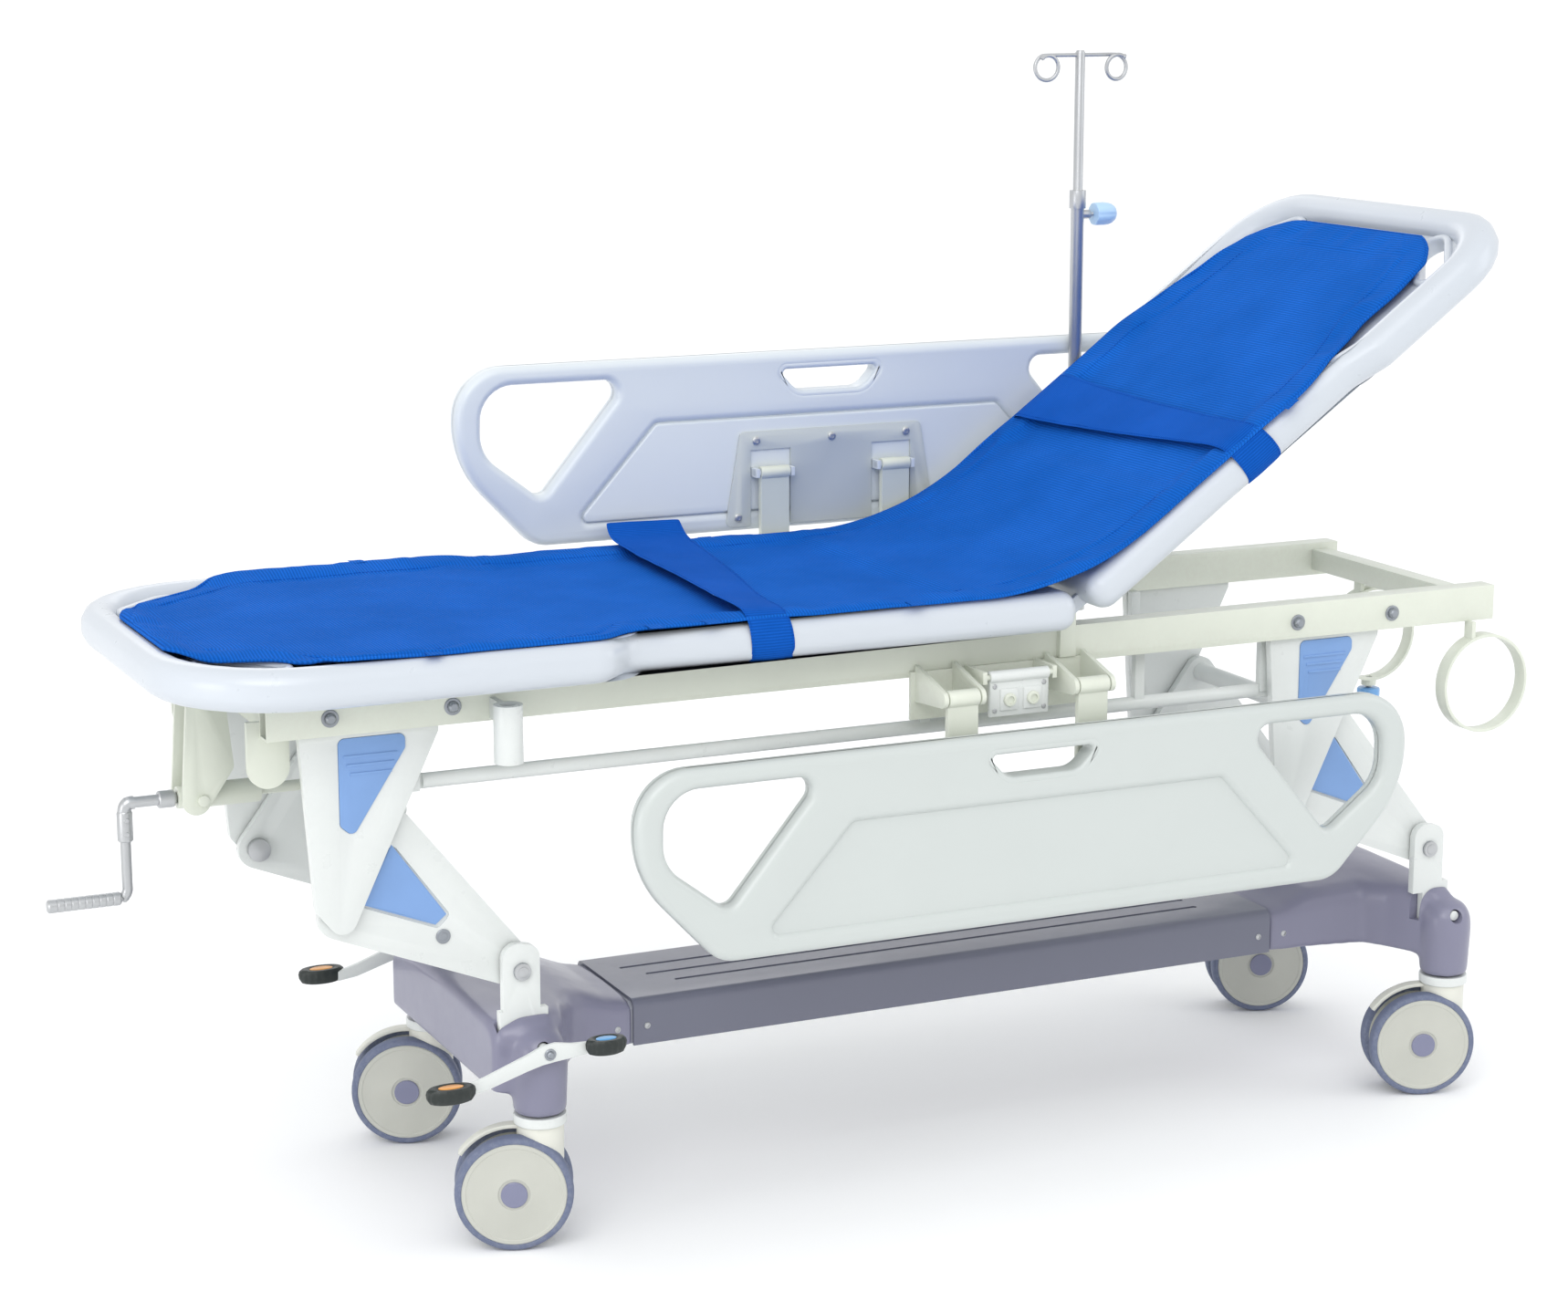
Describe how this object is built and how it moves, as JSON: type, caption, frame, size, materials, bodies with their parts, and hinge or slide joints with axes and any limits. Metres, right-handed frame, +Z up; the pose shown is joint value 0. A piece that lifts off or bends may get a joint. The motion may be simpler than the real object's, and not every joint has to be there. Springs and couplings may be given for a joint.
{
  "type": "stretcher trolley",
  "caption": "Hospital stretcher trolley with crank-lifted deck, raised backrest, folding side rails, infusion pole and twin casters.",
  "frame": {"origin": "centre of the bounding box's floor plane: on the floor, midway between the crank grip's tip and the head-end carrier ring, on the trolley's centre line", "axes": "+X from the foot end to the head end, +Y to the far side, +Z up"},
  "size_m": [2.046, 0.666, 1.457],
  "materials": {
    "chassis": "painted steel under the covers",
    "base_cover": "moulded lavender-grey ABS, fine satin grain",
    "white_metal": "white powder coat",
    "cream_metal": "cream powder coat",
    "insert": "satin cornflower-blue moulded insert",
    "chrome": "bright chrome plate",
    "caster_body": "cream nylon",
    "wheel_disc": "satin warm grey wheel centre",
    "tyre": "blue-grey polyurethane tread",
    "deck": "cool white moulded ABS",
    "rail_panel": "white blow-moulded ABS",
    "knob": "light blue moulded knob",
    "pedal": "black ribbed rubber",
    "spring_black": "black gas-spring tube",
    "mattress": "royal-blue corded woven cover over a thin quilted pad",
    "strap": "royal-blue woven strap"
  },
  "bodies": {
    "base": {"base_chassis": "chassis", "base_cover_middle": "base_cover", "base_cover_foot": "base_cover", "base_cover_head": "base_cover", "pivot_ears": "white_metal", "base_pivot_pins": "chrome"},
    "foot_legs": {"foot_leg_arms": "white_metal", "foot_leg_inserts": "insert"},
    "head_legs": {"head_leg_arms": "white_metal", "head_leg_inserts": "insert"},
    "upper_frame": {"frame_rails": "cream_metal", "leg_plates": "white_metal", "leg_plate_inserts": "insert", "top_pivot_pins": "chrome", "frame_bolts": "chrome", "side_tubes": "white_metal", "pole_sockets": "white_metal", "crank_bracket": "cream_metal", "cylinder_rings": "cream_metal", "rail_brackets": "cream_metal", "deck_foot": "deck", "mattress_seat": "mattress", "strap_thigh": "strap", "pole_lower": "chrome"},
    "backrest": {"deck_backrest": "deck", "mattress_back": "mattress", "strap_chest": "strap"},
    "gas_body": {"gas_spring_body": "spring_black"},
    "gas_rod": {"gas_spring_rod": "chrome"},
    "lift_housing": {"lift_screw_housing": "cream_metal"},
    "lift_nut": {"lift_nut_tube": "cream_metal"},
    "crank": {"crank_arm": "chrome"},
    "grip": {"crank_grip": "chrome"},
    "arms_near": {"rail_arms_near": "cream_metal"},
    "panel_near": {"rail_panel_near": "rail_panel", "rail_plate_near": "rail_panel"},
    "latch_near": {"rail_latch_near": "white_metal"},
    "arms_far": {"rail_arms_far": "cream_metal"},
    "panel_far": {"rail_panel_far": "rail_panel", "rail_plate_far": "rail_panel"},
    "latch_far": {"rail_latch_far": "white_metal"},
    "hook_pole": {"pole_upper": "chrome"},
    "pole_knob": {"pole_clamp_knob": "knob"},
    "ring_knob": {"ring_clamp_knob": "knob"},
    "brake_foot": {"brake_shaft_foot": "white_metal", "brake_pads": "pedal"},
    "brake_link": {"brake_link_rod": "chrome"},
    "brake_head": {"brake_shaft_head": "white_metal"},
    "swivel_foot_near": {"caster_fork_foot_near": "caster_body"},
    "wheels_foot_near": {"caster_hubs_foot_near": "wheel_disc", "caster_tyres_foot_near": "tyre"},
    "swivel_foot_far": {"caster_fork_foot_far": "caster_body"},
    "wheels_foot_far": {"caster_hubs_foot_far": "wheel_disc", "caster_tyres_foot_far": "tyre"},
    "swivel_head_near": {"caster_fork_head_near": "caster_body"},
    "wheels_head_near": {"caster_hubs_head_near": "wheel_disc", "caster_tyres_head_near": "tyre"},
    "swivel_head_far": {"caster_fork_head_far": "caster_body"},
    "wheels_head_far": {"caster_hubs_head_far": "wheel_disc", "caster_tyres_head_far": "tyre"}
  },
  "joints": [
    {"name": "lift", "type": "hinge", "parent": "base", "child": "foot_legs", "pos_m": [-0.48, 0, 0.354], "axis": [0, 1, 0], "range_deg": [-43, 25]},
    {"name": "frame_level", "type": "hinge", "parent": "foot_legs", "child": "upper_frame", "pos_m": [-0.70901, 0, 0.44653], "axis": [0, 1, 0], "range_deg": [-25, 43]},
    {"name": "head_leg_swing", "type": "hinge", "parent": "base", "child": "head_legs", "pos_m": [0.886, 0, 0.354], "axis": [0, 1, 0], "range_deg": [-43, 25]},
    {"name": "screw_tilt", "type": "hinge", "parent": "upper_frame", "child": "lift_housing", "pos_m": [-0.831, 0, 0.572], "axis": [0, 1, 0], "range_deg": [-14.5, 8.5]},
    {"name": "nut_slide", "type": "slide", "parent": "lift_housing", "child": "lift_nut", "axis": [1, 0, 0], "range_m": [-0.1008, 0.0587]},
    {"name": "crank_spin", "type": "hinge", "parent": "lift_housing", "child": "crank", "pos_m": [-0.831, 0, 0.572], "axis": [1, 0, 0], "continuous": true},
    {"name": "grip_spin", "type": "hinge", "parent": "crank", "child": "grip", "pos_m": [-0.923, 0, 0.452], "axis": [1, 0, 0], "continuous": true},
    {"name": "backrest_tilt", "type": "hinge", "parent": "upper_frame", "child": "backrest", "pos_m": [0.278, 0, 0.755], "axis": [0, -1, 0], "range_deg": [-36, 11]},
    {"name": "gas_tilt", "type": "hinge", "parent": "upper_frame", "child": "gas_body", "pos_m": [0.323, 0, 0.715], "axis": [0, -1, 0], "range_deg": [-37.9, 11.6]},
    {"name": "gas_slide", "type": "slide", "parent": "gas_body", "child": "gas_rod", "axis": [0.7539, 0, 0.657], "range_m": [-0.0349, 0.0107]},
    {"name": "rail_swing_near", "type": "hinge", "parent": "upper_frame", "child": "arms_near", "pos_m": [0.183, -0.2855, 0.667], "axis": [-1, 0, 0], "range_deg": [0, 180]},
    {"name": "rail_level_near", "type": "hinge", "parent": "arms_near", "child": "panel_near", "pos_m": [0.183, -0.2855, 0.457], "axis": [-1, 0, 0], "range_deg": [-180, 0]},
    {"name": "latch_near_pull", "type": "hinge", "parent": "upper_frame", "child": "latch_near", "pos_m": [0.183, -0.262, 0.684], "axis": [-1, 0, 0], "range_deg": [0, 20], "stiffness_Nm_per_rad": 1.5, "springref_deg": -5.73},
    {"name": "rail_swing_far", "type": "hinge", "parent": "upper_frame", "child": "arms_far", "pos_m": [0.183, 0.2855, 0.667], "axis": [-1, 0, 0], "range_deg": [0, 180]},
    {"name": "rail_level_far", "type": "hinge", "parent": "arms_far", "child": "panel_far", "pos_m": [0.183, 0.2855, 0.877], "axis": [-1, 0, 0], "range_deg": [-180, 0]},
    {"name": "latch_far_pull", "type": "hinge", "parent": "upper_frame", "child": "latch_far", "pos_m": [0.183, 0.262, 0.684], "axis": [1, 0, 0], "range_deg": [0, 20], "stiffness_Nm_per_rad": 1.5, "springref_deg": -5.73},
    {"name": "pole_slide", "type": "slide", "parent": "upper_frame", "child": "hook_pole", "axis": [0, 0, 1], "range_m": [0, 0.5]},
    {"name": "pole_knob_turn", "type": "hinge", "parent": "upper_frame", "child": "pole_knob", "pos_m": [0.574, 0.288, 1.222], "axis": [1, 0, 0], "range_deg": [0, 360]},
    {"name": "ring_knob_turn", "type": "hinge", "parent": "upper_frame", "child": "ring_knob", "pos_m": [0.953, 0.06, 0.518], "axis": [0, 0, 1], "range_deg": [0, 360]},
    {"name": "brake_rock", "type": "hinge", "parent": "base", "child": "brake_foot", "pos_m": [-0.468, 0, 0.263], "axis": [0, 1, 0], "range_deg": [-12, 12]},
    {"name": "brake_link_slide", "type": "slide", "parent": "base", "child": "brake_link", "axis": [1, 0, 0], "range_m": [-0.0042, 0.0042]},
    {"name": "brake_head_rock", "type": "hinge", "parent": "base", "child": "brake_head", "pos_m": [0.905, 0, 0.263], "axis": [0, 1, 0], "range_deg": [-12, 12]},
    {"name": "swivel_foot_near", "type": "hinge", "parent": "base", "child": "swivel_foot_near", "pos_m": [-0.464, -0.21, 0.17], "axis": [0, 0, 1], "continuous": true},
    {"name": "spin_foot_near", "type": "hinge", "parent": "swivel_foot_near", "child": "wheels_foot_near", "pos_m": [-0.49595, -0.19837, 0.075], "axis": [0.342, 0.9397, 0], "continuous": true},
    {"name": "swivel_foot_far", "type": "hinge", "parent": "base", "child": "swivel_foot_far", "pos_m": [-0.464, 0.21, 0.17], "axis": [0, 0, 1], "continuous": true},
    {"name": "spin_foot_far", "type": "hinge", "parent": "swivel_foot_far", "child": "wheels_foot_far", "pos_m": [-0.49595, 0.22163, 0.075], "axis": [0.342, 0.9397, 0], "continuous": true},
    {"name": "swivel_head_near", "type": "hinge", "parent": "base", "child": "swivel_head_near", "pos_m": [0.909, -0.21, 0.17], "axis": [0, 0, 1], "continuous": true},
    {"name": "spin_head_near", "type": "hinge", "parent": "swivel_head_near", "child": "wheels_head_near", "pos_m": [0.87705, -0.19837, 0.075], "axis": [0.342, 0.9397, 0], "continuous": true},
    {"name": "swivel_head_far", "type": "hinge", "parent": "base", "child": "swivel_head_far", "pos_m": [0.909, 0.21, 0.17], "axis": [0, 0, 1], "continuous": true},
    {"name": "spin_head_far", "type": "hinge", "parent": "swivel_head_far", "child": "wheels_head_far", "pos_m": [0.87705, 0.22163, 0.075], "axis": [0.342, 0.9397, 0], "continuous": true}
  ],
  "couplings": [
    {"joint": "frame_level", "follows": "lift", "ratio": -1},
    {"joint": "head_leg_swing", "follows": "lift", "ratio": 1},
    {"joint": "screw_tilt", "follows": "lift", "ratio": 0.33525},
    {"joint": "nut_slide", "follows": "lift", "m_per_rad": 0.13423},
    {"joint": "gas_tilt", "follows": "backrest_tilt", "ratio": 1.0503},
    {"joint": "gas_slide", "follows": "backrest_tilt", "m_per_rad": 0.05542},
    {"joint": "rail_level_near", "follows": "rail_swing_near", "ratio": -1},
    {"joint": "rail_level_far", "follows": "rail_swing_far", "ratio": -1},
    {"joint": "brake_link_slide", "follows": "brake_rock", "m_per_rad": -0.019},
    {"joint": "brake_head_rock", "follows": "brake_rock", "ratio": 1}
  ]
}
